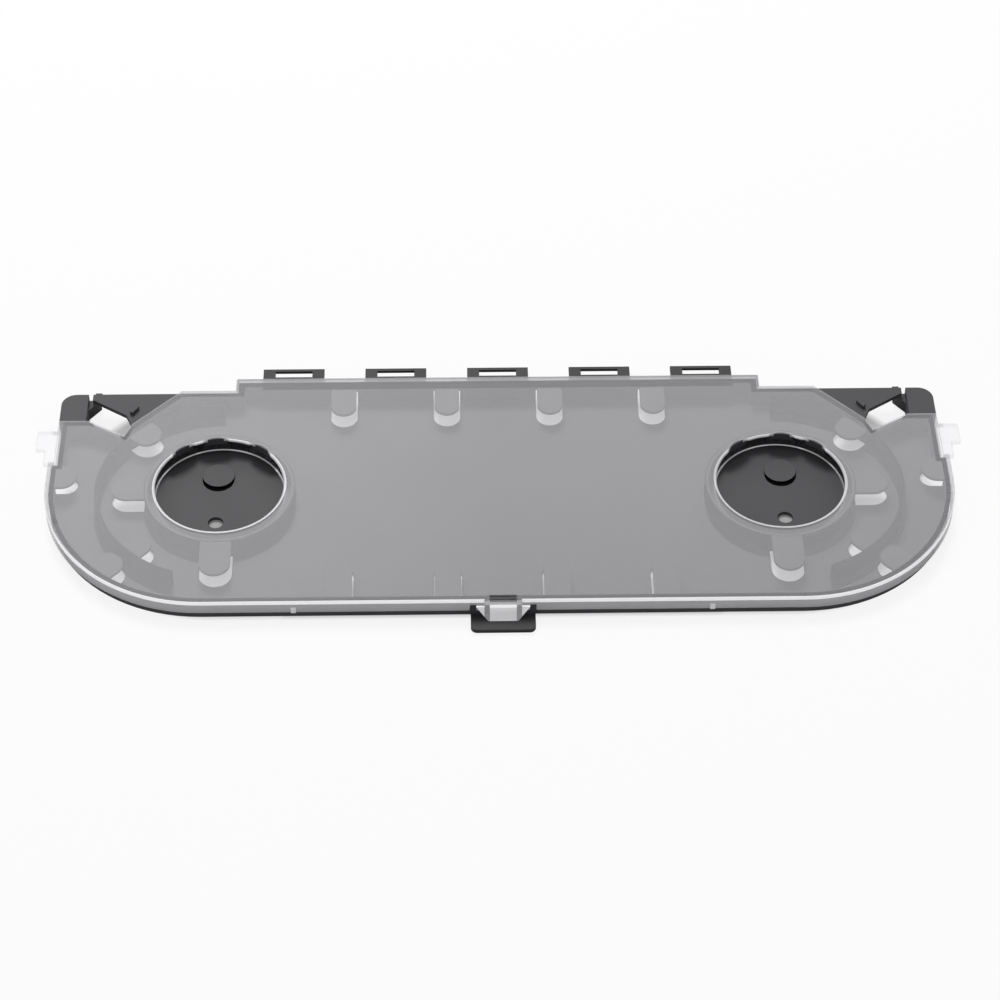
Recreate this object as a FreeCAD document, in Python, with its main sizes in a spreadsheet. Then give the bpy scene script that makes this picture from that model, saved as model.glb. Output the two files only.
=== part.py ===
import FreeCAD, Part
import math
import os
import re
import Sketcher

# Fibre splice tray: a black moulded base with two coiling drums, and the clear cover that snaps on it.
# Frame: X along the tray, Y from the latch side to the lug side, Z up.
# The origin is on the underside, half way between the two drum centres.

doc = FreeCAD.newDocument("SpliceTray")

# Driving dimensions, in millimetres and degrees
SIZES = [
    ("tray_length", 296.2, "base, outside the side walls"),
    ("front_depth", 51.3, "drum line to the front wall's outer face"),
    ("rear_depth", 45.0, "drum line to the rear wall's outer face"),
    ("front_corner_radius", 52.2, "base, front corners in plan"),
    ("rear_corner_radius", 5.0, "base, rear corners in plan"),
    ("floor_thickness", 1.2, ""),
    ("wall_thickness", 1.5, ""),
    ("wall_height", 7.0, "underside to the seat of the cover"),
    ("side_step", 1.9, "inward step of the side walls"),
    ("side_step_place", 12.0, "drum line to the step"),
    ("bay_half_length", 88.0, "rear bay, centre to its outer face"),
    ("bay_step", 5.1, "rear wall's outer face to the bay wall's"),
    ("bay_wall", 2.0, ""),
    ("lug_backing", 1.5, "extra wall behind the lugs"),
    ("lug_backing_inset", 8.1, "end of the backing to the bay's end"),
    ("drum_to_end", 55.9, "drum centre to the base's end"),
    ("drum_bore_radius", 23.6, ""),
    ("drum_wall", 1.2, ""),
    ("drum_height", 6.8, ""),
    ("stud_hole_radius", 2.5, ""),
    ("stud_hole_out", 1.1, "outward from the drum centre"),
    ("stud_hole_place", 10.6, "forward of the drum centre"),
    ("disc_radius", 5.3, "closed stud place behind the drum centre"),
    ("disc_height", 0.8, ""),
    ("cleat_angle", 37.0, "from straight behind the drum to an outer cleat"),
    ("cleat_turn", 6.0, "middle cleat, towards the tray's end"),
    ("cleat_half_width", 5.0, ""),
    ("cleat_root", 4.0, "level where a cleat starts"),
    ("cleat_height", 7.9, ""),
    ("cleat_tip_radius", 5.7, "round tip that shows in the cover's notch"),
    ("cleat_tip", 0.5, "cleat's face to the end of its tip"),
    ("guide_radius", 39.6, "guide wall, inner face"),
    ("guide_wall", 1.4, ""),
    ("guide_height", 6.8, ""),
    ("guide_front_angle", 70.6, "from the front line to the guide's front end"),
    ("tab_thickness", 1.0, ""),
    ("tab_top", 6.8, "underside to the top of the fibre tabs"),
    ("tab_hole_gap", 0.3, "floor hole round the outline of its tab"),
    ("rear_tab_half_width", 4.2, ""),
    ("rear_tab_length", 13.8, "from the bay wall's inner face"),
    ("front_tab_length", 18.4, "from the front wall's inner face"),
    ("tab_pitch", 34.8, "also the pitch of the lugs"),
    ("drum_tab_half_width", 5.0, ""),
    ("drum_front_tab_reach", 39.2, "drum centre to the tip"),
    ("drum_side_tab_reach", 35.4, "drum centre to the tip"),
    ("guide_tab_reach", 31.2, "drum centre to the tip of a guide tab"),
    ("wall_tab_reach", 43.4, "drum centre to the tip of the corner tab"),
    ("diagonal", 45.0, "angle of the guide tabs and of the corner tab"),
    ("side_tab_place", 5.9, "drum line to the middle of the side tab"),
    ("side_tab_length", 8.5, "from the base's end to the tip"),
    ("side_hole_shortfall", 2.7, "tab edge to the front of its hole"),
    ("lug_length", 20.8, ""),
    ("lug_depth", 7.8, ""),
    ("lug_thickness", 1.0, ""),
    ("lug_top", 6.0, ""),
    ("slot_length", 12.6, ""),
    ("slot_width", 2.8, ""),
    ("slot_bar", 1.2, "lug left behind the slot"),
    ("catch_length", 20.6, "plate under the latch"),
    ("catch_depth", 8.1, ""),
    ("catch_thickness", 1.4, ""),
    ("catch_radius", 2.0, ""),
    ("block_inset", 0.6, "corner block's side inside the base's end"),
    ("block_length", 8.9, "corner block, beside the cable mouth"),
    ("plate_thickness", 1.4, "top plate of the corner block"),
    ("mouth_width", 16.6, "cable mouth, from the block to the rear wall"),
    ("port_ledge", 1.6, "cable mouth's side to the inner corner line"),
    ("port_depth", 15.2, "rear wall's outer face to the corner line's side end"),
    ("port_run", 12.4, "corner line along its sill"),
    ("port_fall", 7.3, ""),
    ("neck_run", 2.2, "corner line from the sill to its neck"),
    ("neck_rise", 5.4, ""),
    ("seat_x", 0.6, "cover's corner edge past the inner corner line"),
    ("seat_y", 1.7, ""),
    ("sill_height", 3.4, "sill that the cable passes over"),
    ("arm_length", 13.4, "hook arm over the mouth"),
    ("arm_root_depth", 10.4, "rear wall's outer face to the arm's root"),
    ("arm_tip_depth", 2.6, ""),
    ("arm_slit", 1.5, "gap at the tip of the hook arm"),
    ("rib_thickness", 1.2, ""),
    ("peg_inward", 2.7, "small peg across the arm, from the arm's root"),
    ("peg_behind", 1.8, ""),
    ("peg_angle", 123.0, ""),
    ("peg_length", 3.6, ""),
    ("peg_thickness", 1.2, ""),
    ("peg_height", 1.3, "peg above the arm"),
    ("nub_inset", 3.4, "cable mouth's side to the nub behind the arm's tip"),
    ("nub_length", 2.2, ""),
    ("nub_reach", 0.6, ""),
    ("cover_thickness", 1.0, ""),
    ("skirt_thickness", 1.0, ""),
    ("skirt_gap", 0.3, "between the skirt and the base"),
    ("skirt_depth", 4.8, "cover top to the lower edge of the skirt"),
    ("rim_round", 0.6, ""),
    ("cover_overhang", 0.9, "cover past the bay wall"),
    ("cover_rear_overhang", 0.6, "cover past the rear wall"),
    ("cover_hole_radius", 21.1, ""),
    ("cover_hole_round", 0.5, ""),
    ("collar_thickness", 0.6, ""),
    ("collar_depth", 3.6, "below the cover's underside"),
    ("collar_gap", 0.25, "between the cover and the cleats"),
    ("notch_depth", 2.4, "below the cover's top"),
    ("ear_reach", 6.8, "ear past the cover's side"),
    ("ear_neck_reach", 3.7, ""),
    ("ear_gap", 0.6, "side step to the front of the ear's neck"),
    ("ear_neck_length", 6.8, ""),
    ("ear_length", 8.4, ""),
    ("ear_bottom", 4.6, ""),
    ("ear_thickness", 1.8, ""),
    ("latch_top_half", 8.5, ""),
    ("latch_tip_half", 4.8, ""),
    ("latch_reach", 3.3, "tip of the latch tongue in front of the skirt"),
    ("latch_thickness", 1.0, ""),
    ("latch_shoulder", 5.7, "level where the tongue leaves the skirt"),
    ("latch_tip", 1.7, "level of the tongue's tip"),
    ("latch_slot", 2.1, "slot in the skirt beside the tongue"),
    ("window_half", 4.3, "latch window in the cover"),
    ("window_depth", 2.2, ""),
    ("latch_rib", 1.6, "rib beside the window"),
    ("hood_reach", 2.2, "hood over the tongue, in front of the skirt"),
    ("hood_wall", 1.0, ""),
    ("hood_bottom", 3.2, ""),
    ("snap_place", 66.4, "centre to a snap boss on the skirt"),
    ("snap_length", 1.6, ""),
    ("snap_height", 2.4, ""),
    ("snap_reach", 0.4, ""),
]

sizes = doc.addObject("Spreadsheet::Sheet", "Sizes")
for line, (alias, number, note) in enumerate(SIZES, start=1):
    sizes.set(f"A{line}", alias)
    sizes.set(f"B{line}", str(number))
    sizes.set(f"C{line}", note)
    sizes.setAlias(f"B{line}", alias)
doc.recompute()

ALIASES = {alias for alias, number, note in SIZES}
TOLERANCE = 0.01


def bound(formula):
    """The formula with every named size written as a cell of the sheet."""
    return re.sub(r"[a-z_]+", lambda word: f"Sizes.{word[0]}" if word[0] in ALIASES else word[0], formula)


def amount(formula):
    """The present value of a formula."""
    return float(sizes.evalExpression(bound(formula)))


def new_sketch(body, name, level="0"):
    """An empty sketch on the body's own XY plane, raised to a level."""
    sketch = body.newObject("Sketcher::SketchObject", name)
    plane = next(item for item in body.Origin.OriginFeatures if item.Role == "XY_Plane")
    sketch.AttachmentSupport = [(plane, "")]
    sketch.MapMode = "FlatFace"
    sketch.setExpression("AttachmentOffset.Base.z", bound(level))
    return sketch


def pin(sketch, edge, end, x=None, y=None):
    """Holds one point of an edge at the formulas x and y."""
    for kind, formula, axis in (("DistanceX", x, -2), ("DistanceY", y, -1)):
        if formula is None:
            continue
        if formula == "0":
            sketch.addConstraint(Sketcher.Constraint("PointOnObject", edge, end, axis))
            continue
        index = sketch.addConstraint(Sketcher.Constraint(kind, -1, 1, edge, end, amount(formula)))
        sketch.setExpression(f"Constraints[{index}]", bound(formula))


def size_radius(sketch, edge, formula):
    """Gives an arc or circle its radius."""
    index = sketch.addConstraint(Sketcher.Constraint("Radius", edge, amount(formula)))
    sketch.setExpression(f"Constraints[{index}]", bound(formula))


def add_polygon(sketch, corners):
    """A closed outline of straight edges through corners given as formulas."""
    points = [FreeCAD.Vector(amount(x), amount(y), 0) for x, y in corners]
    first = sketch.GeometryCount
    count = len(points)
    for place in range(count):
        sketch.addGeometry(Part.LineSegment(points[place], points[(place + 1) % count]), False)
    for place, (x, y) in enumerate(corners):
        before = first + (place - 1) % count
        sketch.addConstraint(Sketcher.Constraint("Coincident", before, 2, first + place, 1))
        pin(sketch, first + place, 1, x, y)


def add_box(sketch, left, right, front, rear):
    """A rectangle along X and Y between four formulas."""
    add_polygon(sketch, [(left, front), (right, front), (right, rear), (left, rear)])


def add_bar(sketch, x, y, angle, length, width):
    """A rectangle about (x, y) with its length along an angle."""
    along = (f"cos({angle})", f"sin({angle})")
    corners = []
    for end, side in ((-1, -1), (1, -1), (1, 1), (-1, 1)):
        corners.append((f"{x} + {end} * {length} / 2 * {along[0]} - {side} * {width} / 2 * {along[1]}",
                        f"{y} + {end} * {length} / 2 * {along[1]} + {side} * {width} / 2 * {along[0]}"))
    add_polygon(sketch, corners)


def add_circle(sketch, x, y, radius):
    """A circle with its centre and radius as formulas."""
    centre = FreeCAD.Vector(amount(x), amount(y), 0)
    edge = sketch.addGeometry(Part.Circle(centre, FreeCAD.Vector(0, 0, 1), amount(radius)), False)
    pin(sketch, edge, 3, x, y)
    size_radius(sketch, edge, radius)


def add_ring_piece(sketch, x, y, inner, outer, start, finish):
    """A piece of a ring between two angles, counted in degrees from +X; every value is a formula."""
    centre = FreeCAD.Vector(amount(x), amount(y), 0)
    angles = [math.radians(amount(side)) for side in (start, finish)]
    arcs = []
    for radius in (inner, outer):
        circle = Part.Circle(centre, FreeCAD.Vector(0, 0, 1), amount(radius))
        edge = sketch.addGeometry(Part.ArcOfCircle(circle, *angles), False)
        pin(sketch, edge, 3, x, y)
        size_radius(sketch, edge, radius)
        for end, side in ((1, start), (2, finish)):
            pin(sketch, edge, end, f"{x} + ({radius}) * cos({side})")
        arcs.append(edge)
    low, high = (sketch.Geometry[edge] for edge in arcs)
    for end, tips in ((1, (low.StartPoint, high.StartPoint)), (2, (low.EndPoint, high.EndPoint))):
        line = sketch.addGeometry(Part.LineSegment(*tips), False)
        sketch.addConstraint(Sketcher.Constraint("Coincident", line, 1, arcs[0], end))
        sketch.addConstraint(Sketcher.Constraint("Coincident", line, 2, arcs[1], end))


def add_tongue(sketch, x, y, angle, root, tip, half_width):
    """A tongue with a square root and a round tip, both counted from (x, y) along an angle."""
    way = (f"cos({angle})", f"sin({angle})")
    reach = f"({tip} - ({half_width}))"
    middle = (f"{x} + {reach} * {way[0]}", f"{y} + {reach} * {way[1]}")
    right = (f"{x} + ({root}) * {way[0]} + ({half_width}) * {way[1]}",
             f"{y} + ({root}) * {way[1]} - ({half_width}) * {way[0]}")
    left = (f"{x} + ({root}) * {way[0]} - ({half_width}) * {way[1]}",
            f"{y} + ({root}) * {way[1]} + ({half_width}) * {way[0]}")
    centre, start, finish = (FreeCAD.Vector(amount(a), amount(b), 0) for a, b in (middle, right, left))
    turn = math.radians(amount(angle))
    circle = Part.Circle(centre, FreeCAD.Vector(0, 0, 1), amount(half_width))
    tip_arc = Part.ArcOfCircle(circle, turn - math.pi / 2, turn + math.pi / 2)
    near = sketch.addGeometry(Part.LineSegment(start, tip_arc.StartPoint), False)
    arc = sketch.addGeometry(tip_arc, False)
    far = sketch.addGeometry(Part.LineSegment(tip_arc.EndPoint, finish), False)
    base = sketch.addGeometry(Part.LineSegment(finish, start), False)
    sketch.addConstraint(Sketcher.Constraint("Tangent", near, 2, arc, 1))
    sketch.addConstraint(Sketcher.Constraint("Tangent", arc, 2, far, 1))
    sketch.addConstraint(Sketcher.Constraint("Coincident", far, 2, base, 1))
    sketch.addConstraint(Sketcher.Constraint("Coincident", base, 2, near, 1))
    pin(sketch, near, 1, *right)
    pin(sketch, far, 2, *left)
    pin(sketch, arc, 3, *middle)
    size_radius(sketch, arc, half_width)


def new_pad(body, sketch, name, height):
    """Adds the sketch's outline upwards from its level."""
    pad = body.newObject("PartDesign::Pad", name)
    pad.Profile = sketch
    pad.setExpression("Length", bound(height))
    return pad


def new_pocket(body, sketch, name, depth):
    """Cuts the sketch's outline downwards from its level."""
    pocket = body.newObject("PartDesign::Pocket", name)
    pocket.Profile = sketch
    pocket.setExpression("Length", bound(depth))
    return pocket


def round_edges(body, name, base, wanted, radius):
    """Rounds those edges of base that pass the test wanted."""
    doc.recompute()
    edges = [f"Edge{number}" for number, edge in enumerate(base.Shape.Edges, start=1) if wanted(edge)]
    fillet = body.newObject("PartDesign::Fillet", name)
    fillet.Base = (base, edges)
    fillet.setExpression("Radius", bound(radius))
    return fillet


def stands_at(*places):
    """A test for upright edges at places, each a pair of formulas."""
    spots = [(amount(x), amount(y)) for x, y in places]

    def test(edge):
        box = edge.BoundBox
        upright = max(box.XLength, box.YLength) < TOLERANCE
        return upright and any(math.dist((box.Center.x, box.Center.y), spot) < TOLERANCE for spot in spots)

    return test


def lies_at(level):
    """A test for edges that lie flat at a level."""
    height = amount(level)
    return lambda edge: max(abs(edge.BoundBox.ZMin - height), abs(edge.BoundBox.ZMax - height)) < TOLERANCE


def near_drums(level, reach):
    """A test for edges that lie flat at a level, not further than reach from a drum's centre line."""
    flat = lies_at(level)
    place, furthest = amount(DRUM_X), amount(reach)
    return lambda edge: flat(edge) and all(
        math.hypot(abs(corner.X) - place, corner.Y) < furthest for corner in edge.Vertexes
    )


def mirror_features(body, name, features):
    """Repeats features on the other side of the YZ plane."""
    mirror = body.newObject("PartDesign::Mirrored", name)
    mirror.Originals = features
    plane = next(item for item in body.Origin.OriginFeatures if item.Role == "YZ_Plane")
    mirror.MirrorPlane = (plane, [""])
    body.Tip = mirror
    return mirror


def both_sides(half):
    """A closed outline from its right half, listed from the front to the rear."""
    return half + [(f"0 - ({x})", y) for x, y in reversed(half)]


# Lines that the base and the cover share
HALF = "tray_length / 2"
STEP = "(side_step_place - skirt_thickness - skirt_gap)"
BAY_DEPTH = "(rear_depth + bay_step)"
BACKING_SIDE = "bay_half_length - lug_backing_inset"
DRUM_X = f"({HALF} - drum_to_end)"
TAB_BOTTOM = "tab_top - tab_thickness"
PLATE_BOTTOM = "wall_height - plate_thickness"
COVER_TOP = "wall_height + cover_thickness"
SKIRT = "(skirt_gap + skirt_thickness)"
DRUM_OUTSIDE = "drum_bore_radius + drum_wall"
CLEAT_FACE = "(cover_hole_radius + collar_thickness + collar_gap)"
CORNER_REACH = (f"({HALF} + front_depth - {DRUM_X} - 2 * front_corner_radius) * cos(diagonal)"
                " + front_corner_radius")
TAB_PLACES = [f"({step}) * tab_pitch" for step in (-1.5, -0.5, 0.5, 1.5)]
LUG_PLACES = [f"({step}) * tab_pitch" for step in (-2, -1, 0, 1, 2)]
CLEAT_ANGLES = ["90 - cleat_angle", "90 - cleat_turn", "90 + cleat_angle"]
LOBE_PLACE = f"({CLEAT_FACE} + cleat_tip - cleat_tip_radius)"
LOBES = [(f"{DRUM_X} + {LOBE_PLACE} * cos({angle})", f"{LOBE_PLACE} * sin({angle})") for angle in CLEAT_ANGLES]

# Plan of the rear corners, outwards from the rear wall's face and inwards from the base's end
BLOCK_SIDE = f"({HALF} - block_inset)"
MOUTH_FAR = f"({BLOCK_SIDE} - block_length)"
MOUTH_NEAR = f"({MOUTH_FAR} - mouth_width)"
PORT_SIDE = (f"({MOUTH_FAR} - port_ledge)", "(rear_depth - port_depth)")
PORT_SILL = (f"({PORT_SIDE[0]} - port_run)", f"({PORT_SIDE[1]} - port_fall)")
PORT_NECK = (f"({PORT_SILL[0]} - neck_run)", f"({PORT_SILL[1]} + neck_rise)")
PORT_REAR = f"({PORT_NECK[0]} + {PORT_NECK[1]} + wall_thickness - rear_depth)"
CORNER_LINE = [PORT_SIDE, PORT_SILL, PORT_NECK]
SEAT_LINE = [(f"{x} + seat_x", f"{y} + seat_y") for x, y in CORNER_LINE]
BLOCK_FRONT = f"{PORT_SIDE[1]} + seat_y + skirt_gap"
ARM_ROOT = (f"({MOUTH_FAR} - arm_length)", "(rear_depth - arm_root_depth)")


# Base: floor, walls and everything moulded with them
tray = doc.addObject("PartDesign::Body", "TrayBase")
tray.Label = "tray_base"

block_sketch = new_sketch(tray, "BlockOutline")
add_polygon(block_sketch, both_sides([
    (HALF, "0 - front_depth"),
    (HALF, STEP),
    (f"{HALF} - side_step", STEP),
    (f"{HALF} - side_step", BLOCK_FRONT),
    (BLOCK_SIDE, BLOCK_FRONT),
    (BLOCK_SIDE, "rear_depth"),
    ("bay_half_length", "rear_depth"),
    ("bay_half_length", BAY_DEPTH),
]))
new_pad(tray, block_sketch, "Block", "wall_height")

inside_sketch = new_sketch(tray, "InsideOutline", "wall_height")
add_polygon(inside_sketch, both_sides([
    (f"{HALF} - wall_thickness", "wall_thickness - front_depth"),
    (f"{HALF} - wall_thickness", f"{STEP} - wall_thickness"),
    (f"{HALF} - wall_thickness - side_step", f"{STEP} - wall_thickness"),
    (f"{HALF} - wall_thickness - side_step", PORT_SIDE[1]),
    *CORNER_LINE,
    (PORT_REAR, "rear_depth - wall_thickness"),
    ("bay_half_length - bay_wall", "rear_depth - wall_thickness"),
    ("bay_half_length - bay_wall", f"{BAY_DEPTH} - bay_wall"),
    (BACKING_SIDE, f"{BAY_DEPTH} - bay_wall"),
    (BACKING_SIDE, f"{BAY_DEPTH} - bay_wall - lug_backing"),
]))
inside = new_pocket(tray, inside_sketch, "Inside", "wall_height - floor_thickness")
front_inner = both_sides([(f"{HALF} - wall_thickness", "wall_thickness - front_depth")])
front_outer = both_sides([(HALF, "0 - front_depth")])
rear_outer = both_sides([(BLOCK_SIDE, "rear_depth")])
inner_round = round_edges(tray, "InnerCorners", inside, stands_at(*front_inner),
                          "front_corner_radius - wall_thickness")
outer_round = round_edges(tray, "OuterCorners", inner_round, stands_at(*front_outer), "front_corner_radius")
round_edges(tray, "RearCorners", outer_round, stands_at(*rear_outer), "rear_corner_radius")

# Plate that the latch comes down on
catch_sketch = new_sketch(tray, "CatchOutline")
add_polygon(catch_sketch, both_sides([
    ("catch_length / 2", "0 - front_depth - catch_depth"),
    ("catch_length / 2", "wall_thickness / 2 - front_depth"),
]))
catch = new_pad(tray, catch_sketch, "Catch", "catch_thickness")
catch_corners = both_sides([("catch_length / 2", "0 - front_depth - catch_depth")])
round_edges(tray, "CatchCorners", catch, stands_at(*catch_corners), "catch_radius")

# Slotted lugs behind the bay
lug_sketch = new_sketch(tray, "LugOutlines", "lug_top - lug_thickness")
lug_rear = f"({BAY_DEPTH} + lug_depth)"
for middle in LUG_PLACES:
    for length, front, rear in (
        ("lug_length", f"{BAY_DEPTH} - bay_wall / 2", lug_rear),
        ("slot_length", f"{lug_rear} - slot_bar - slot_width", f"{lug_rear} - slot_bar"),
    ):
        add_box(lug_sketch, f"{middle} - {length} / 2", f"{middle} + {length} / 2", front, rear)
new_pad(tray, lug_sketch, "Lugs", "lug_thickness")

# Fibre tabs along the bay wall and the front wall, each over a hole in the floor
hole_sketch = new_sketch(tray, "LongSideHoles", TAB_BOTTOM)
tab_sketch = new_sketch(tray, "LongSideTabs", TAB_BOTTOM)
for middle in TAB_PLACES:
    for angle, tip, hole_root, tab_root in (
        ("270", f"{BAY_DEPTH} - bay_wall - rear_tab_length", f"{BAY_DEPTH} + bay_wall",
         f"{BAY_DEPTH} - bay_wall / 2"),
        ("90", "front_depth - wall_thickness - front_tab_length",
         "front_depth - wall_thickness - tab_hole_gap", "front_depth - wall_thickness / 2"),
    ):
        add_tongue(hole_sketch, middle, "0", angle, f"0 - ({hole_root})", f"(tab_hole_gap - ({tip}))",
                   "rear_tab_half_width + tab_hole_gap")
        add_tongue(tab_sketch, middle, "0", angle, f"0 - ({tab_root})", f"(0 - ({tip}))",
                   "rear_tab_half_width")
new_pocket(tray, hole_sketch, "LongSideHolesCut", TAB_BOTTOM)
new_pad(tray, tab_sketch, "LongSideTabsPad", "tab_thickness")

# One drum with its guide wall; the other is its mirror image
drum_sketch = new_sketch(tray, "DrumOutline")
add_circle(drum_sketch, DRUM_X, "0", "drum_bore_radius")
add_circle(drum_sketch, DRUM_X, "0", DRUM_OUTSIDE)
drum = new_pad(tray, drum_sketch, "Drum", "drum_height")

# Cleats that centre the cover's collar, each with a thin tip that shows in a notch of the cover
cleat_sketch = new_sketch(tray, "CleatOutlines", "cleat_root")
half_turn = "cleat_half_width / drum_bore_radius * 180 / pi"
for middle in CLEAT_ANGLES:
    add_ring_piece(cleat_sketch, DRUM_X, "0", CLEAT_FACE, "drum_bore_radius + drum_wall / 4",
                   f"{middle} - {half_turn}", f"{middle} + {half_turn}")
cleats = new_pad(tray, cleat_sketch, "Cleats", "drum_height - cleat_root")
cleat_tips = []
for number, (x, y) in enumerate(LOBES, start=1):
    tip_sketch = new_sketch(tray, f"CleatTipOutline{number}", "cleat_root")
    add_circle(tip_sketch, x, y, "cleat_tip_radius")
    cleat_tips.append(new_pad(tray, tip_sketch, f"CleatTip{number}", "cleat_height - cleat_root"))
face_sketch = new_sketch(tray, "CleatFaceOutline", "cleat_height")
add_circle(face_sketch, DRUM_X, "0", CLEAT_FACE)
cleat_faces = new_pocket(tray, face_sketch, "CleatFacesCut", "cleat_height - cleat_root")

disc_sketch = new_sketch(tray, "DiscOutline")
add_circle(disc_sketch, f"{DRUM_X} + stud_hole_out", "stud_hole_place", "disc_radius")
disc = new_pad(tray, disc_sketch, "Disc", "floor_thickness + disc_height")

guide_sketch = new_sketch(tray, "GuideOutline")
add_ring_piece(guide_sketch, DRUM_X, "0", "guide_radius", "guide_radius + guide_wall",
               "0 - guide_front_angle", "90")
guide = new_pad(tray, guide_sketch, "Guide", "guide_height")

stud_sketch = new_sketch(tray, "StudHole", "wall_height")
add_circle(stud_sketch, f"{DRUM_X} + stud_hole_out", "0 - stud_hole_place", "stud_hole_radius")
stud = new_pocket(tray, stud_sketch, "StudHoleCut", "wall_height")

# Fibre tabs round the drum, each as angle from its centre, roots of hole and tab, and tip
drum_tabs = [
    ("270", DRUM_OUTSIDE, "drum_bore_radius + drum_wall / 2", "drum_front_tab_reach"),
    ("0", DRUM_OUTSIDE, "drum_bore_radius + drum_wall / 2", "drum_side_tab_reach"),
    ("180 + diagonal", "0 - guide_radius", "0 - guide_radius - guide_wall / 2", "0 - guide_tab_reach"),
    ("180 - diagonal", "0 - guide_radius", "0 - guide_radius - guide_wall / 2", "0 - guide_tab_reach"),
    ("180 - diagonal", f"0 - ({CORNER_REACH} - wall_thickness - 2 * tab_hole_gap)",
     f"0 - ({CORNER_REACH} - wall_thickness / 2)", "0 - wall_tab_reach"),
]
side_tab_tip = f"(side_tab_length - {HALF})"
drum_hole_sketch = new_sketch(tray, "DrumTabHoles", TAB_BOTTOM)
drum_tab_sketch = new_sketch(tray, "DrumTabs", TAB_BOTTOM)
for angle, hole_root, tab_root, tip in drum_tabs:
    add_tongue(drum_hole_sketch, DRUM_X, "0", angle, hole_root, f"{tip} + tab_hole_gap",
               "drum_tab_half_width + tab_hole_gap")
    add_tongue(drum_tab_sketch, DRUM_X, "0", angle, tab_root, tip, "drum_tab_half_width")
add_tongue(drum_hole_sketch, "0", "side_tab_place + side_hole_shortfall / 2", "180",
           f"0 - {HALF} - side_step", side_tab_tip,
           "drum_tab_half_width + tab_hole_gap - side_hole_shortfall / 2")
add_tongue(drum_tab_sketch, "0", "side_tab_place", "180", f"wall_thickness / 2 - {HALF}",
           side_tab_tip, "drum_tab_half_width")
drum_holes = new_pocket(tray, drum_hole_sketch, "DrumTabHolesCut", TAB_BOTTOM)
drum_tab_pad = new_pad(tray, drum_tab_sketch, "DrumTabsPad", "tab_thickness")

# Rear corner: open under its top plate, with the cable mouth, the hook arm over it and the sill
channel_sketch = new_sketch(tray, "ChannelOutline", PLATE_BOTTOM)
add_polygon(channel_sketch, [
    SEAT_LINE[1],
    SEAT_LINE[0],
    (MOUTH_FAR, f"{PORT_SIDE[1]} + seat_y"),
    (MOUTH_FAR, "rear_depth - rear_corner_radius"),
    (f"{MOUTH_FAR} - rear_corner_radius", "rear_depth + wall_thickness"),
    (MOUTH_NEAR, "rear_depth + wall_thickness"),
    (MOUTH_NEAR, f"{PORT_NECK[1]} + 2 * seat_y"),
    SEAT_LINE[2],
])
channel = new_pocket(tray, channel_sketch, "Channel", PLATE_BOTTOM)

hollow_sketch = new_sketch(tray, "CornerHollows", PLATE_BOTTOM)
hollow_rear = "rear_depth - wall_thickness"
hollow_front = f"{BLOCK_FRONT} + wall_thickness"
add_box(hollow_sketch, f"{MOUTH_FAR} + rib_thickness", f"{BLOCK_SIDE} - wall_thickness",
        hollow_front, hollow_rear)
wedge_side = f"{MOUTH_NEAR} - wall_thickness"
add_polygon(hollow_sketch, [
    (wedge_side, f"{PORT_NECK[1]} + 2 * seat_y + 2 * wall_thickness"),
    (wedge_side, hollow_rear),
    (f"{PORT_REAR} + 4 * wall_thickness", hollow_rear),
])
hollows = new_pocket(tray, hollow_sketch, "CornerHollowsCut", PLATE_BOTTOM)

port_sketch = new_sketch(tray, "PortOutline", "wall_height")
add_polygon(port_sketch, [
    SEAT_LINE[1],
    SEAT_LINE[0],
    (MOUTH_FAR, f"{PORT_SIDE[1]} + seat_y"),
    (MOUTH_FAR, "rear_depth + wall_thickness"),
    (f"{MOUTH_FAR} - arm_slit", "rear_depth + wall_thickness"),
    (f"{MOUTH_FAR} - arm_slit", "rear_depth - arm_tip_depth"),
    ARM_ROOT,
    SEAT_LINE[2],
])
port = new_pocket(tray, port_sketch, "Port", "2 * plate_thickness")

sill_sketch = new_sketch(tray, "SillOutline", "wall_height")
add_polygon(sill_sketch, [
    (f"{PORT_SILL[0]} + wall_thickness", PORT_SILL[1]),
    (f"{PORT_SIDE[0]} - wall_thickness", f"{PORT_SIDE[1]} - wall_thickness"),
    (f"{PORT_SIDE[0]} - wall_thickness + seat_x", f"{PORT_SIDE[1]} + seat_y"),
    (f"{PORT_SILL[0]} + wall_thickness + seat_x", f"{PORT_SILL[1]} + 2 * seat_y"),
])
sill = new_pocket(tray, sill_sketch, "Sill", "wall_height - sill_height")

peg_sketch = new_sketch(tray, "PegOutline", PLATE_BOTTOM)
add_bar(peg_sketch, f"{ARM_ROOT[0]} - peg_inward", f"{ARM_ROOT[1]} + peg_behind", "peg_angle",
        "peg_length", "peg_thickness")
peg = new_pad(tray, peg_sketch, "Peg", "plate_thickness + peg_height")

nub_sketch = new_sketch(tray, "NubOutline", PLATE_BOTTOM)
add_box(nub_sketch, f"{MOUTH_FAR} - nub_inset - nub_length / 2", f"{MOUTH_FAR} - nub_inset + nub_length / 2",
        "rear_depth - wall_thickness", "rear_depth + nub_reach")
nub = new_pad(tray, nub_sketch, "Nub", "plate_thickness")

mirror_features(tray, "OtherSide", [
    drum, cleats, *cleat_tips, cleat_faces, disc, guide, stud, drum_holes, drum_tab_pad,
    channel, hollows, port, sill, peg, nub,
])


# Cover: plate, skirt, collars, side ears and latch in one clear moulding
cover = doc.addObject("PartDesign::Body", "Cover")
cover.Label = "cover"

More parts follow.
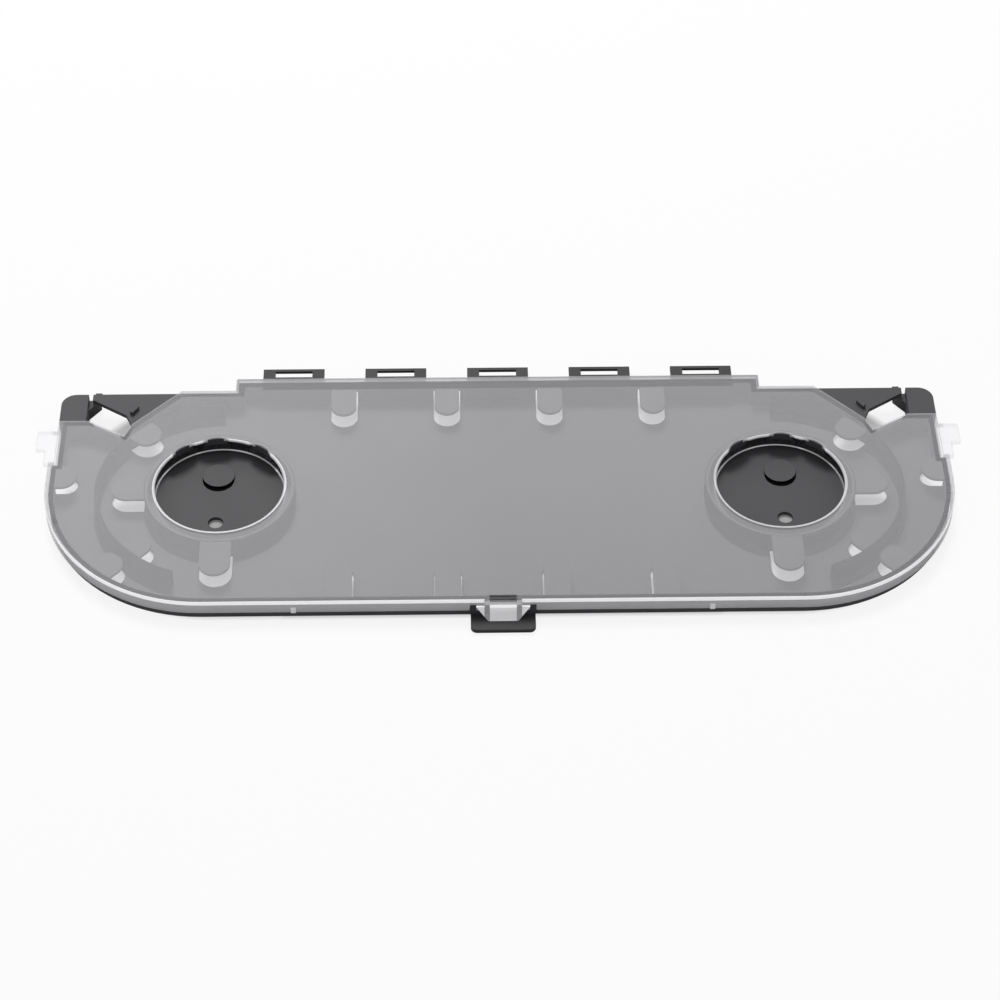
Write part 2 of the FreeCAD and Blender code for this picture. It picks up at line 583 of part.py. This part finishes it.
lid_sketch = new_sketch(cover, "LidOutline", f"{COVER_TOP} - skirt_depth")
add_polygon(lid_sketch, both_sides([
    (f"{HALF} + {SKIRT}", f"0 - front_depth - {SKIRT}"),
    (f"{HALF} + {SKIRT}", "side_step_place"),
    (f"{HALF} + {SKIRT} - side_step", "side_step_place"),
    (f"{HALF} + {SKIRT} - side_step", f"{PORT_SIDE[1]} + seat_y"),
    *SEAT_LINE,
    (f"{PORT_REAR} + seat_x", "rear_depth + cover_rear_overhang"),
    ("bay_half_length + cover_overhang", "rear_depth + cover_rear_overhang"),
    ("bay_half_length + cover_overhang", f"{BAY_DEPTH} + {SKIRT}"),
]))
new_pad(cover, lid_sketch, "Lid", "skirt_depth")

under_sketch = new_sketch(cover, "UnderOutline", "wall_height")
under_rear = f"{BAY_DEPTH} + lug_depth"
add_polygon(under_sketch, both_sides([
    (f"{HALF} + skirt_gap", "0 - front_depth - skirt_gap"),
    (f"{HALF} + skirt_gap", "side_step_place - skirt_thickness"),
    (f"{HALF} + skirt_gap - side_step", "side_step_place - skirt_thickness"),
    (f"{HALF} + skirt_gap - side_step", under_rear),
]))
under = new_pocket(cover, under_sketch, "Under", "skirt_depth")
under_corners = both_sides([(f"{HALF} + skirt_gap", "0 - front_depth - skirt_gap")])
lid_corners = both_sides([(f"{HALF} + {SKIRT}", f"0 - front_depth - {SKIRT}")])
under_round = round_edges(cover, "UnderCorners", under, stands_at(*under_corners),
                          "front_corner_radius + skirt_gap")
lid_round = round_edges(cover, "LidCorners", under_round, stands_at(*lid_corners),
                        f"front_corner_radius + {SKIRT}")
round_edges(cover, "LidRim", lid_round, lies_at(COVER_TOP), "rim_round")

# Latch: a tongue that narrows towards its tip, freed by two slots, under a hood with a window behind it
FRONT_FACE = f"0 - front_depth - {SKIRT}"
tongue_top = new_sketch(cover, "TongueTop", "latch_shoulder")
add_box(tongue_top, "0 - latch_top_half", "latch_top_half", f"{FRONT_FACE} - latch_thickness",
        f"{FRONT_FACE} + skirt_thickness / 2")
tongue_tip = new_sketch(cover, "TongueTip", "latch_tip")
add_box(tongue_tip, "0 - latch_tip_half", "latch_tip_half", f"{FRONT_FACE} - latch_reach",
        f"{FRONT_FACE} - latch_reach + latch_thickness")
tongue = cover.newObject("PartDesign::AdditiveLoft", "LatchTongue")
tongue.Profile = tongue_top
tongue.Sections = [tongue_tip]
tongue.Ruled = True

hood_side = "window_half + latch_rib"
hood_front = f"{FRONT_FACE} - hood_reach"
hood_sketch = new_sketch(cover, "HoodOutline", "hood_bottom")
add_polygon(hood_sketch, both_sides([
    (hood_side, hood_front),
    (hood_side, f"{FRONT_FACE} + skirt_thickness / 2"),
    ("window_half", f"{FRONT_FACE} + skirt_thickness / 2"),
    ("window_half", f"{hood_front} + hood_wall"),
]))
new_pad(cover, hood_sketch, "Hood", f"{COVER_TOP} - hood_bottom")
bridge_sketch = new_sketch(cover, "BridgeOutline", "wall_height")
add_box(bridge_sketch, "0 - window_half - latch_rib / 2", "window_half + latch_rib / 2",
        f"{hood_front} + hood_wall / 2", FRONT_FACE)
new_pad(cover, bridge_sketch, "Bridge", "cover_thickness")
window_sketch = new_sketch(cover, "LatchWindow", COVER_TOP)
add_box(window_sketch, "0 - window_half", "window_half", FRONT_FACE, f"{FRONT_FACE} + window_depth")
new_pocket(cover, window_sketch, "LatchWindowCut", "2 * cover_thickness")

slot_sketch = new_sketch(cover, "LatchSlots", "latch_shoulder")
slot_side = "latch_top_half + latch_slot"
for left, right in (("latch_top_half", slot_side), (f"0 - ({slot_side})", "0 - latch_top_half")):
    add_box(slot_sketch, left, right, f"{FRONT_FACE} - skirt_gap", "0 - front_depth - skirt_gap / 2")
new_pocket(cover, slot_sketch, "LatchSlotsCut", "latch_shoulder")

# One side of the cover; the other is its mirror image
well_sketch = new_sketch(cover, "DrumWell", COVER_TOP)
add_circle(well_sketch, DRUM_X, "0", "cover_hole_radius")
well = new_pocket(cover, well_sketch, "DrumWellCut", "2 * cover_thickness")

collar_sketch = new_sketch(cover, "CollarOutline", "wall_height - collar_depth")
add_circle(collar_sketch, DRUM_X, "0", "cover_hole_radius")
add_circle(collar_sketch, DRUM_X, "0", "cover_hole_radius + collar_thickness")
collar = new_pad(cover, collar_sketch, "Collar", "collar_depth + cover_thickness")

notches = []
for number, (x, y) in enumerate(LOBES, start=1):
    notch_sketch = new_sketch(cover, f"CleatNotch{number}", COVER_TOP)
    add_circle(notch_sketch, x, y, "cleat_tip_radius + collar_gap")
    notches.append(new_pocket(cover, notch_sketch, f"CleatNotchCut{number}", "notch_depth"))

ear_sketch = new_sketch(cover, "EarOutline", "ear_bottom")
ear_root = f"{HALF} + {SKIRT} - side_step - skirt_thickness / 2"
ear_side = f"{HALF} + {SKIRT} - side_step"
ear_front = "(side_step_place + ear_gap)"
ear_middle = f"({ear_front} + ear_neck_length)"
ear_rear = f"{ear_middle} + ear_length"
add_polygon(ear_sketch, [
    (ear_root, ear_front),
    (f"{ear_side} + ear_neck_reach", ear_front),
    (f"{ear_side} + ear_neck_reach", ear_middle),
    (f"{ear_side} + ear_reach", ear_middle),
    (f"{ear_side} + ear_reach", ear_rear),
    (ear_root, ear_rear),
])
ear = new_pad(cover, ear_sketch, "Ear", "ear_thickness")

snap_sketch = new_sketch(cover, "SnapBoss", f"{COVER_TOP} - skirt_depth")
add_box(snap_sketch, "snap_place - snap_length / 2", "snap_place + snap_length / 2",
        f"{FRONT_FACE} - snap_reach", f"{FRONT_FACE} + skirt_thickness / 2")
snap = new_pad(cover, snap_sketch, "SnapBossPad", "snap_height")
other_side = mirror_features(cover, "OtherSideOfCover", [well, collar, *notches, ear, snap])
rim_reach = f"{CLEAT_FACE} + cleat_tip + 2 * collar_gap"
cover.Tip = round_edges(cover, "WellRims", other_side, near_drums(COVER_TOP, rim_reach), "cover_hole_round")

doc.recompute()

for item in doc.Objects:
    if {"Invalid", "Error"} & set(item.State):
        raise RuntimeError(f"{item.Name} did not build: {item.State}")
    if item.TypeId == "PartDesign::Pocket" and item.Shape.Volume > item.BaseFeature.Shape.Volume - TOLERANCE:
        raise RuntimeError(f"{item.Name} cuts nothing")

os.makedirs("parts", exist_ok=True)
for body in (tray, cover):
    shape = body.Shape
    if shape.isNull() or not shape.isValid() or len(shape.Solids) != 1:
        raise RuntimeError(f"{body.Label} is not one sound solid")
    print(body.Label, round(shape.Volume), "cubic mm", len(shape.Faces), "faces")
    shape.exportStep(f"parts/{body.Label}.step")
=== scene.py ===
from math import cos, radians, sin

import bpy
from mathutils import Matrix, Vector


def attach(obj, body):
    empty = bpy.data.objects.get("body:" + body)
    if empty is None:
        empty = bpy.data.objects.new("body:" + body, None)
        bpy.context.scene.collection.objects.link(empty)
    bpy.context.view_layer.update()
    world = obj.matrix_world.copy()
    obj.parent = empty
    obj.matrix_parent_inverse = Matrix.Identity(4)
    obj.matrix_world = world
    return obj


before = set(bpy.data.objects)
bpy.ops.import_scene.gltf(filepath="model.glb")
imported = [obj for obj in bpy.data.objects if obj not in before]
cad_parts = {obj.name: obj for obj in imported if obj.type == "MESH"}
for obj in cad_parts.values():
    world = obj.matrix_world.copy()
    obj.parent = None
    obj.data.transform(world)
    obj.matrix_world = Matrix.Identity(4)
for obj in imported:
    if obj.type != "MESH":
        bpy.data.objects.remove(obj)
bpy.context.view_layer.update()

scene = bpy.context.scene
MM = 0.001

# Camera
# Long lens, a little under a metre away and looking down at about 45 degrees,
# turned and tipped very slightly off the tray's own front line.
CAMERA_LENS = 104.87
CAMERA_SENSOR = 36
CAMERA_CLIP = 0.01
CAMERA_DISTANCE = 0.9622
CAMERA_DOWN = radians(45.136)
CAMERA_TURN = radians(1.236)
CAMERA_ROLL = radians(0.343)
CAMERA_AIM = Vector((-0.09, -0.19, 0)) * MM

along = cos(CAMERA_DOWN)
ahead = Vector((sin(CAMERA_TURN) * along, cos(CAMERA_TURN) * along, -sin(CAMERA_DOWN)))
level = ahead.cross(Vector((0, 0, 1))).normalized()
upward = level.cross(ahead)
right = level * cos(CAMERA_ROLL) + upward * sin(CAMERA_ROLL)
top = upward * cos(CAMERA_ROLL) - level * sin(CAMERA_ROLL)

camera_data = bpy.data.cameras.new("camera")
camera_data.lens = CAMERA_LENS
camera_data.sensor_width = CAMERA_SENSOR
camera_data.clip_start = CAMERA_CLIP
camera = bpy.data.objects.new("camera", camera_data)
scene.collection.objects.link(camera)
camera.matrix_world = (
    Matrix.Translation(CAMERA_AIM - ahead * CAMERA_DISTANCE)
    @ Matrix((right, top, -ahead)).transposed().to_4x4()
)
scene.camera = camera
scene.view_settings.view_transform = "Standard"

# Light
# A broad soft lamp behind and above, whose shadows fall towards the latch, a weak
# one from the front left, and an even pale surround that the camera sees as white.
SURROUND = 0.45
LAMPS = [
    ("rear_lamp", Vector((-0.15, 1.0, 1.25)), 0.6, 14.5),
    ("front_lamp", Vector((-0.9, -1.2, 1.5)), 1.0, 3.0),
]


class Socket:
    """A shader socket that plain sums, products and comparisons can be written with."""

    def __init__(self, tree, link):
        self.tree = tree
        self.link = link

    def math(self, operation, *values):
        return node(self.tree, "ShaderNodeMath", {"operation": operation}, dict(enumerate(values)))

    def __add__(self, other):
        return self.math("ADD", self, other)

    def __sub__(self, other):
        return self.math("SUBTRACT", self, other)

    def __rsub__(self, other):
        return self.math("SUBTRACT", other, self)

    def __mul__(self, other):
        return self.math("MULTIPLY", self, other)

    def __pow__(self, other):
        return self.math("POWER", self, other)

    def __gt__(self, other):
        return self.math("GREATER_THAN", self, other)

    def __lt__(self, other):
        return self.math("LESS_THAN", self, other)

    def __abs__(self):
        return self.math("ABSOLUTE", self)

    def clamped(self):
        return self.math("MINIMUM", self.math("MAXIMUM", self, 0.0), 1.0)

    __radd__ = __add__
    __rmul__ = __mul__


def node(tree, kind, settings=None, values=None, output=0):
    """Adds a node, sets its settings, then its sockets, and gives one of its outputs."""
    made = tree.nodes.new(kind)
    for name, setting in (settings or {}).items():
        setattr(made, name, setting)
    for name, value in (values or {}).items():
        if isinstance(value, Socket):
            tree.links.new(value.link, made.inputs[name])
        else:
            made.inputs[name].default_value = value
    return Socket(tree, made.outputs[output])


for name, place, size, watts in LAMPS:
    lamp_data = bpy.data.lights.new(name, "AREA")
    lamp_data.shape = "DISK"
    lamp_data.size = size
    lamp_data.energy = watts
    lamp = bpy.data.objects.new(name, lamp_data)
    scene.collection.objects.link(lamp)
    lamp.location = place
    lamp.rotation_euler = (-place).to_track_quat("-Z", "Y").to_euler()

surround = bpy.data.worlds.new("surround")
surround.use_nodes = True
tree = surround.node_tree
tree.nodes.clear()
seen = (
    node(tree, "ShaderNodeLightPath", output="Is Camera Ray")
    + node(tree, "ShaderNodeLightPath", output="Is Glossy Ray")
    + node(tree, "ShaderNodeLightPath", output="Is Transmission Ray")
).clamped()
strength = seen * (1 - SURROUND) + SURROUND
sky = node(tree, "ShaderNodeBackground", values={"Color": (1, 1, 1, 1), "Strength": strength})
output = tree.nodes.new("ShaderNodeOutputWorld")
tree.links.new(sky.link, output.inputs["Surface"])
scene.world = surround

# Table
# A plain white sheet that the tray lies on, wide enough to run out of the picture. To the
# camera it is mostly pure white, so that shadows on it stay faint. Under the tray it is
# plainer paper, with painted shade below the wells of the drums and beside the front tabs.
TABLE_HALF = 6.0
TABLE_DROP = 0.1 * MM
TABLE_WHITE = (0.93, 0.93, 0.93, 1)
# The grey of the painted shade on the paper under the tray.
TABLE_PAINTED_SHADE = (0.45, 0.45, 0.45, 1)
OPEN_GLOW = 0.85
UNDER_GLOW = 0.3
DRUM_PLACE = 92.2 * MM
UNDER_RADIUS = 53 * MM
UNDER_BLUR = 3 * MM
WELL_RADIUS = 22 * MM
FRONT_TABS = -36 * MM
FRONT_TABS_SIDE = 70 * MM
FRONT_TABS_SHADE = 0.6


def coordinates(tree, kind):
    """The object's own place or normal at a point, as three sockets: across, deep and high."""
    vector = node(tree, "ShaderNodeTexCoord", output=kind)
    return [
        node(tree, "ShaderNodeSeparateXYZ", values={"Vector": vector}, output=axis)
        for axis in "XYZ"
    ]


def distance(aside, ahead):
    """How far a point is from a centre in plan, from its two offsets."""
    return (aside ** 2.0 + ahead ** 2.0) ** 0.5


def layered(tree, colour, *layers):
    """A colour with others laid over it, each where its own mask is 1."""
    for mask, above in layers:
        values = {0: mask, 6: colour, 7: above}
        colour = node(tree, "ShaderNodeMix", {"data_type": "RGBA"}, values, output=2)
    return colour


def new_material(name):
    """An empty material, with the socket that takes its shader."""
    material = bpy.data.materials.new(name)
    material.use_nodes = True
    tree = material.node_tree
    tree.nodes.clear()
    return material, tree, tree.nodes.new("ShaderNodeOutputMaterial").inputs["Surface"]


bpy.ops.object.select_all(action="DESELECT")
bpy.ops.mesh.primitive_plane_add(size=2 * TABLE_HALF, location=(0, 0, -TABLE_DROP))
table = bpy.context.object
table.name = "table"
material, tree, surface = new_material("white_table")
across, deep = coordinates(tree, "Object")[:2]
off_drum = abs(across) - DRUM_PLACE
past_drum = off_drum.math("MAXIMUM", off_drum, 0.0)
under = ((UNDER_RADIUS - distance(past_drum, deep)) * (1 / UNDER_BLUR)).clamped()
well = distance(off_drum, deep) < WELL_RADIUS
front_tabs = (deep < FRONT_TABS) * (abs(across) < FRONT_TABS_SIDE)
# Painted shade on the paper below the drum wells and beside the front tabs.
paper_shade = under * (well + front_tabs * FRONT_TABS_SHADE)
seen = node(tree, "ShaderNodeLightPath", output="Is Camera Ray")
glow = seen * (OPEN_GLOW - under * (OPEN_GLOW - UNDER_GLOW) - paper_shade * UNDER_GLOW)
colour = layered(tree, TABLE_WHITE, (paper_shade, TABLE_PAINTED_SHADE))
paper = node(tree, "ShaderNodeBsdfDiffuse", values={"Color": colour})
white = node(tree, "ShaderNodeEmission", values={"Color": (1, 1, 1, 1), "Strength": 1.0})
sheet = node(tree, "ShaderNodeMixShader", values={0: glow, 1: paper, 2: white})
tree.links.new(sheet.link, surface)
table.data.materials.append(material)

# Black base
# One injection moulding in black plastic with a fine matt texture and soft edges, and
# faint clouds of flow in its floor. The lugs and the latch plate are darkened as painted shade,
# and the round walls, the disc feet and a painted shadow on the floor by them are painted black.
BASE_BLACK = (0.045, 0.045, 0.048, 1)
BASE_FLOW = (0.056, 0.056, 0.060, 1)
THIN_SHADE_BLACK = (0.018, 0.018, 0.020, 1)
LUG_START = 51.4 * MM
PLATE_START = -52.4 * MM
SHADE_BLACK = (0.005, 0.005, 0.005, 1)
GUIDE_WALL = (39.45 * MM, 41.15 * MM)
GUIDE_FRONT = 13.2 * MM
DRUM_FACE = (24.5 * MM, 24.85 * MM)
DISC_ACROSS = 93.3 * MM
DISC_DEEP = 10.6 * MM
DISC_RADIUS = 5.25 * MM
DISC_SHADE = 1.5 * MM
FLOOR_LEVEL = 2 * MM
FLOOR_SHADE = 4.5 * MM
FLOOR_SHADOW_PART = 0.75
BASE_EDGE = 0.2 * MM
EDGE_SAMPLES = 4
GRAIN_SIZE = 0.35 * MM
GRAIN_DEPTH = 0.03 * MM
GRAIN_STRENGTH = 0.3
FLOW_SIZE = 25 * MM
NOISE_DETAIL = 3.0
BASE_ROUGHNESS = 0.5
FLOW_ROUGHNESS = 0.12
BASE_SPECULAR = 0.3


def between(value, span):
    """1 where a value lies inside a span, and 0 elsewhere."""
    return (value > span[0]) * (value < span[1])


def noise(tree, place, size):
    """Plain noise, whose largest lumps have the given size."""
    values = {"Vector": place, "Scale": 1 / size, "Detail": NOISE_DETAIL}
    return node(tree, "ShaderNodeTexNoise", values=values)


material, tree, surface = new_material("black_plastic")
place = node(tree, "ShaderNodeTexCoord", output="Object")
across, deep, height = coordinates(tree, "Object")
# The lugs and the latch plate are darkened as painted shade.
thin_shade = (deep > LUG_START) + (deep < PLATE_START)
off_drum = abs(across) - DRUM_PLACE
reach = distance(off_drum, deep)
behind = distance(off_drum, deep + FLOOR_SHADE)
# Painted shade: the round walls, the disc feet and a painted shadow on the floor in front of them.
beside = abs(across) > (deep < 0.0) * GUIDE_FRONT + DRUM_PLACE
guide = between(reach, GUIDE_WALL) * beside
inside_guide = (reach < GUIDE_WALL[0]) * (behind > GUIDE_WALL[0]) * beside
before_guide = (reach > GUIDE_WALL[1]) * (behind < GUIDE_WALL[1]) * beside
drum_face = between(reach, DRUM_FACE)
before_drum = (reach > DRUM_FACE[1]) * (behind < DRUM_FACE[1])
floor = (inside_guide + before_guide + before_drum).clamped() * (height < FLOOR_LEVEL)
off_disc = abs(across) - DISC_ACROSS
past_disc = distance(off_disc, deep - DISC_DEEP) > DISC_RADIUS
near_disc = distance(off_disc, deep - (DISC_DEEP - DISC_SHADE)) < DISC_RADIUS
painted_shade = (guide + drum_face + past_disc * near_disc + floor * FLOOR_SHADOW_PART).clamped()

grain = noise(tree, place, GRAIN_SIZE)
cloud = noise(tree, place, FLOW_SIZE)
soft_edge = node(tree, "ShaderNodeBevel", {"samples": EDGE_SAMPLES}, {"Radius": BASE_EDGE})
bump = node(tree, "ShaderNodeBump", values={
    "Height": grain,
    "Strength": GRAIN_STRENGTH,
    "Distance": GRAIN_DEPTH,
    "Normal": soft_edge,
})
colour = layered(tree, BASE_BLACK, (cloud, BASE_FLOW), (thin_shade, THIN_SHADE_BLACK))
black = node(tree, "ShaderNodeBsdfPrincipled", values={
    "Base Color": colour,
    "Roughness": cloud * FLOW_ROUGHNESS + BASE_ROUGHNESS,
    "Specular IOR Level": BASE_SPECULAR,
    "Normal": bump,
})
# The flat black of the painted shade.
shade_paint = node(tree, "ShaderNodeBsdfDiffuse", values={"Color": SHADE_BLACK})
moulded = node(tree, "ShaderNodeMixShader", values={0: painted_shade, 1: black, 2: shade_paint})
tree.links.new(moulded.link, surface)
black_plastic = material
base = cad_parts["tray_base"]
base.data.materials.clear()
base.data.materials.append(black_plastic)

# Port lips
# The upper part of the base's wall in front of each corner port, up to the cover.
# It is moulded with the base, in the same black plastic, and stands on its wall.
LIP_PLACE = Vector((131.09, 27.0, 5.1)) * MM
LIP_LENGTH = 11.6 * MM
LIP_WIDTH = 1.12 * MM
LIP_HEIGHT = 3.7 * MM
LIP_TURN = radians(30.5)
LIP_BEVEL = 0.15 * MM
LIP_BEVEL_STEPS = 2
LIP_SMOOTH = radians(35)

for side, sign in (("left", -1), ("right", 1)):
    bpy.ops.object.select_all(action="DESELECT")
    bpy.ops.mesh.primitive_cube_add(
        size=1,
        location=(sign * LIP_PLACE.x, LIP_PLACE.y, LIP_PLACE.z),
        rotation=(0, 0, sign * LIP_TURN),
    )
    lip = bpy.context.object
    lip.name = f"{side}_port_lip"
    lip.scale = (LIP_LENGTH, LIP_WIDTH, LIP_HEIGHT)
    bpy.ops.object.transform_apply(location=True, rotation=True, scale=True)
    bpy.ops.object.mode_set(mode="EDIT")
    bpy.ops.mesh.select_all(action="SELECT")
    bpy.ops.mesh.bevel(offset=LIP_BEVEL, segments=LIP_BEVEL_STEPS, affect="EDGES")
    bpy.ops.object.mode_set(mode="OBJECT")
    bpy.ops.object.shade_smooth_by_angle(angle=LIP_SMOOTH)
    lip.data.materials.append(black_plastic)
    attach(lip, "base")

# Clear cover
# One injection moulding in clear plastic, faintly milky, more so towards its ends and rear.
# Its rounded rims carry a painted highlight and a painted glow, strongest at the front; its
# skirt, ribs and rear overhang are painted greys standing in for the black wall beside them,
# and the collars of its drum holes are painted dark down to an edge with a painted highlight and
# glow.
COLLAR_RADIUS = 22.0 * MM
RING_RADIUS = 22.1 * MM
RIM_LEVEL = 6.7 * MM
DRUM_RIM_LEVEL = 7.5 * MM
UNDERSIDE_LEVEL = 6.95 * MM
FOOT_LEVEL = 4.0 * MM
STEEP = 0.5
BENT = 0.95
EAR_START = 149.6 * MM
LATCH_FRONT = -52.9 * MM
LATCH_RIB = (4.25 * MM, 5.95 * MM)
WINDOW_REAR = -50.2 * MM
BAY_SIDE = 88.0 * MM
BAY_REAR = 50.1 * MM
CORNER_REAR = 45.0 * MM
COVER_MILK = (0.85, 0.84, 0.88, 1)
COVER_HIGHLIGHT = (0.93, 0.93, 0.94, 1)
COVER_SKIRT = (0.7, 0.7, 0.72, 1)
COVER_SHADE = (0.4, 0.4, 0.41, 1)
COVER_OVERHANG = (0.26, 0.26, 0.27, 1)
COVER_DARK = (0.015, 0.015, 0.018, 1)
MILK_SHARE = 0.172
MILK_TO_ENDS = 0.03 / (120 * MM)
MILK_TO_REAR = 0.012 / (40 * MM)
RIM_HIGHLIGHT_SHARE = 0.85
SKIRT_SHARE = 0.45
SHADE_SHARE = 0.6
OVERHANG_SHARE = 0.75
COLLAR_SHARE = 0.3
RIB_SHARE = 0.4
TONGUE_SHARE = 0.6
RIM_FADE = 25 * MM
RIM_REAR = 0.3
RIM_AT_DRUM = 0.4
RING_PART = 0.7
EDGE_MIDDLE = 0.2
RIM_PAINTED_GLOW = 0.28
EDGE_PAINTED_GLOW = 0.3
TONGUE_PAINTED_GLOW = 0.12
COVER_ROUGHNESS = 0.42
SHINE_ROUGHNESS = 0.2
COVER_SPECULAR = 0.3

material, tree, surface = new_material("clear_plastic")
across, deep, height = coordinates(tree, "Object")
upright = coordinates(tree, "Normal")[2]
width = abs(across)
reach = distance(width - DRUM_PLACE, deep)
at_drum = reach < COLLAR_RADIUS
at_skirt = 1 - at_drum
at_latch = deep < LATCH_FRONT
steep = abs(upright) < STEEP
bent = abs(upright) < BENT
high = at_drum * (height > DRUM_RIM_LEVEL) + at_skirt * (height > RIM_LEVEL)
low = 1 - high
rib = at_latch * between(width, LATCH_RIB)
bay = width < BAY_SIDE
past_wall = bay * (deep > BAY_REAR) + (1 - bay) * (deep > CORNER_REAR)
foot = (1 - steep) * (height < FOOT_LEVEL)
window = (width < LATCH_RIB[1]) * (deep < WINDOW_REAR) * (1 - at_latch) * steep * high

# Painted highlight: the rounded rims, the ring round each drum hole, the collars' lower edge and
# the latch tongue take a bright colour, fading towards the rear.
ring = at_drum * high * (1 - bent) * (reach < RING_RADIUS)
rounded = high * bent * (1 - rib) * (1 - window)
toward = (deep * (-1 / RIM_FADE)).clamped()
facing = (toward * (1 - RIM_REAR) + at_drum * RIM_AT_DRUM + RIM_REAR).clamped()
rim_highlight = (rounded * facing + ring * RING_PART).clamped()
ring_edge = foot * at_drum * (deep * (1 / RIM_FADE) + EDGE_MIDDLE).clamped()
tongue = at_latch * low * (1 - rib)
# The collars and the latch window are painted dark, a painted shade in the clear plastic.
collar = at_drum * low * (1 - foot)
# Painted light and shade: the skirt and latch ribs are painted a light grey, the skirt's foot a
# mid grey, and the rear overhang a dark grey like the black wall beside it.
skirt = steep * at_skirt * low * (1 - at_latch) * (width < EAR_START)
skirt_edge = foot * at_skirt * (1 - at_latch)
overhang = past_wall * (1 - bent) * (height > UNDERSIDE_LEVEL)
dark = (collar + window).clamped()

share = (
    width * MILK_TO_ENDS
    + deep * MILK_TO_REAR
    + MILK_SHARE
    + (rim_highlight + ring_edge) * (RIM_HIGHLIGHT_SHARE - MILK_SHARE)
    + tongue * (TONGUE_SHARE - MILK_SHARE)
    + dark * (COLLAR_SHARE - MILK_SHARE)
    + skirt * (SKIRT_SHARE - MILK_SHARE)
    + skirt_edge * (SHADE_SHARE - MILK_SHARE)
    + overhang * (OVERHANG_SHARE - MILK_SHARE)
    + rib * (RIB_SHARE - MILK_SHARE)
)
painted_highlight = (rim_highlight + ring_edge + tongue).clamped()
colour = layered(
    tree,
    COVER_MILK,
    (skirt + rib, COVER_SKIRT),
    (skirt_edge, COVER_SHADE),
    (overhang, COVER_OVERHANG),
    (dark, COVER_DARK),
    (painted_highlight, COVER_HIGHLIGHT),
)
# Painted glow: emission on the rims, the collars' lower edge and the tongue.
painted_glow = rounded * toward * RIM_PAINTED_GLOW + ring_edge * EDGE_PAINTED_GLOW + tongue * TONGUE_PAINTED_GLOW
glow = layered(tree, (0, 0, 0, 1), (painted_glow, COVER_HIGHLIGHT))
milk = node(tree, "ShaderNodeBsdfPrincipled", values={
    "Base Color": colour,
    "Roughness": COVER_ROUGHNESS - painted_highlight * (COVER_ROUGHNESS - SHINE_ROUGHNESS),
    "Specular IOR Level": COVER_SPECULAR,
    "Emission Color": glow,
    "Emission Strength": 1.0,
})
clear = node(tree, "ShaderNodeBsdfTransparent")
shadow = node(tree, "ShaderNodeLightPath", output="Is Shadow Ray")
film = node(tree, "ShaderNodeMixShader", values={0: share * (1 - shadow), 1: clear, 2: milk})
tree.links.new(film.link, surface)
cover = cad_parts["cover"]
cover.data.materials.clear()
cover.data.materials.append(material)
